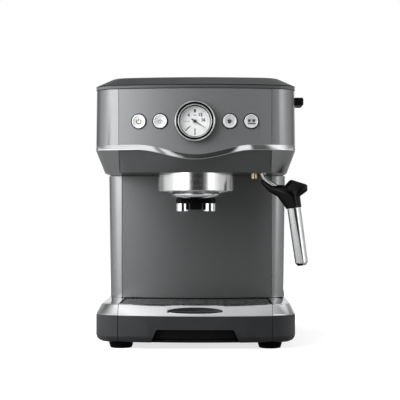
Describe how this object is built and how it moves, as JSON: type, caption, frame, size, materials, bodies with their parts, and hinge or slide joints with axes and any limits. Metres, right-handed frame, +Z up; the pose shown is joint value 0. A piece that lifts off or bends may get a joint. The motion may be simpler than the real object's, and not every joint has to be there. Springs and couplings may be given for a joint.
{
  "type": "espresso machine",
  "caption": "Pump espresso machine with a pressure gauge, push buttons, twist-lock filter holder, steam wand with side knob, pull-out drip tray and lift-out rear water tank.",
  "frame": {"origin": "middle of the overall width and depth, on the worktop under the feet", "axes": "+X to the machine's right seen from the front, +Y towards its back, +Z up"},
  "size_m": [0.2734, 0.3134, 0.344],
  "materials": {
    "black_plastic": "fine moulded texture",
    "black_gloss": "gloss",
    "charcoal": "satin",
    "grey_panel": "satin metallic",
    "grey_side": "satin metallic",
    "dark_cover": "fine moulded texture",
    "chrome": "polished",
    "brushed_steel": "brushed",
    "bright_steel": "polished",
    "zinc_steel": "zinc plated",
    "cast_aluminium": "cast",
    "brass": "machined",
    "rubber": "matte",
    "gasket_rubber": "matte",
    "pump_body": "satin",
    "silicone": "translucent",
    "board_green": "solder mask",
    "dial_white": "satin",
    "lens": "clear",
    "silver_plastic": "satin metallic",
    "red_plastic": "gloss",
    "smoky_clear": "clear"
  },
  "bodies": {
    "housing": {"base_pan": "black_plastic", "rubber_feet": "rubber", "base_side_left": "charcoal", "base_side_right": "charcoal", "base_trims": "chrome", "column_panel": "grey_panel", "column_side_left": "grey_side", "column_side_right": "grey_side", "head_fascia": "grey_panel", "head_side_left": "grey_side", "head_side_right": "grey_side", "trim_band": "chrome", "chin_cover": "grey_panel", "top_rim": "grey_panel", "top_cover": "dark_cover", "cup_plate": "brushed_steel", "rear_cover": "dark_cover", "tank_shelf": "black_plastic", "chassis": "zinc_steel", "thermocoil": "cast_aluminium", "brew_head": "cast_aluminium", "group_collar": "brushed_steel", "group_gasket": "gasket_rubber", "shower_screen": "bright_steel", "pump": "pump_body", "pump_mounts": "rubber", "solenoid_valve": "brass", "steam_valve": "brass", "steam_pipe": "bright_steel", "water_hoses": "silicone", "control_board": "board_green", "button_boards": "board_green", "gauge_case": "black_plastic", "gauge_bezel": "chrome", "gauge_dial": "dial_white", "gauge_lens": "lens", "button_bezels": "black_plastic", "hot_water_outlet": "brass", "case_screws": "zinc_steel"},
    "gauge_needle": {"gauge_needle": "black_gloss"},
    "power_button": {"power_button": "silver_plastic"},
    "filter_button": {"filter_button": "silver_plastic"},
    "single_cup_button": {"single_cup_button": "silver_plastic"},
    "double_cup_button": {"double_cup_button": "silver_plastic"},
    "steam_knob": {"steam_knob": "black_gloss"},
    "wand_swivel": {"wand_socket": "chrome"},
    "wand": {"wand_pipe": "bright_steel", "wand_grip": "black_plastic", "froth_sleeve": "chrome"},
    "holder": {"filter_holder": "chrome", "filter_basket": "bright_steel", "spout_bridge": "black_gloss", "spouts": "chrome"},
    "tray": {"drip_tray": "black_plastic", "tray_front": "charcoal", "tray_lip": "chrome"},
    "float": {"float_indicator": "red_plastic"},
    "grille": {"drip_grille": "brushed_steel"},
    "tank": {"water_tank": "smoky_clear"},
    "tank_lid": {"tank_lid": "black_plastic"}
  },
  "joints": [
    {"name": "needle_turn", "type": "hinge", "parent": "housing", "child": "gauge_needle", "pos_m": [-0.00872, -0.14925, 0.2865], "axis": [0, 1, 0], "range_deg": [-258, 12]},
    {"name": "power_press", "type": "slide", "parent": "housing", "child": "power_button", "axis": [0.1515, 0.9885, 0], "range_m": [0, 0.0015], "stiffness_N_per_m": 300},
    {"name": "filter_press", "type": "slide", "parent": "housing", "child": "filter_button", "axis": [0.0933, 0.9956, 0], "range_m": [0, 0.0015], "stiffness_N_per_m": 300},
    {"name": "single_cup_press", "type": "slide", "parent": "housing", "child": "single_cup_button", "axis": [-0.0933, 0.9956, 0], "range_m": [0, 0.0015], "stiffness_N_per_m": 300},
    {"name": "double_cup_press", "type": "slide", "parent": "housing", "child": "double_cup_button", "axis": [-0.1515, 0.9885, 0], "range_m": [0, 0.0015], "stiffness_N_per_m": 300},
    {"name": "steam_knob_turn", "type": "hinge", "parent": "housing", "child": "steam_knob", "pos_m": [0.11928, -0.08525, 0.3158], "axis": [1, 0, 0], "range_deg": [0, 270]},
    {"name": "wand_swing", "type": "hinge", "parent": "housing", "child": "wand_swivel", "pos_m": [0.07678, -0.10125, 0.229], "axis": [0, 0, 1], "range_deg": [-100, 45]},
    {"name": "wand_tilt", "type": "hinge", "parent": "wand_swivel", "child": "wand", "pos_m": [0.07678, -0.10125, 0.229], "axis": [0, 1, 0], "range_deg": [-8, 20]},
    {"name": "holder_twist", "type": "hinge", "parent": "housing", "child": "holder", "pos_m": [-0.00872, -0.08525, 0.1966], "axis": [0, 0, 1], "range_deg": [-45, 0]},
    {"name": "tray_slide", "type": "slide", "parent": "housing", "child": "tray", "axis": [0, -1, 0], "range_m": [0, 0.12]},
    {"name": "float_rise", "type": "slide", "parent": "tray", "child": "float", "axis": [0, 0, 1], "range_m": [0, 0.008]},
    {"name": "grille_lift", "type": "slide", "parent": "tray", "child": "grille", "axis": [0, 0, 1], "range_m": [0, 0.03]},
    {"name": "tank_lift", "type": "slide", "parent": "housing", "child": "tank", "axis": [0, 0, 1], "range_m": [0, 0.2]},
    {"name": "tank_lid_lift", "type": "slide", "parent": "tank", "child": "tank_lid", "axis": [0, 0, 1], "range_m": [0, 0.04]}
  ]
}
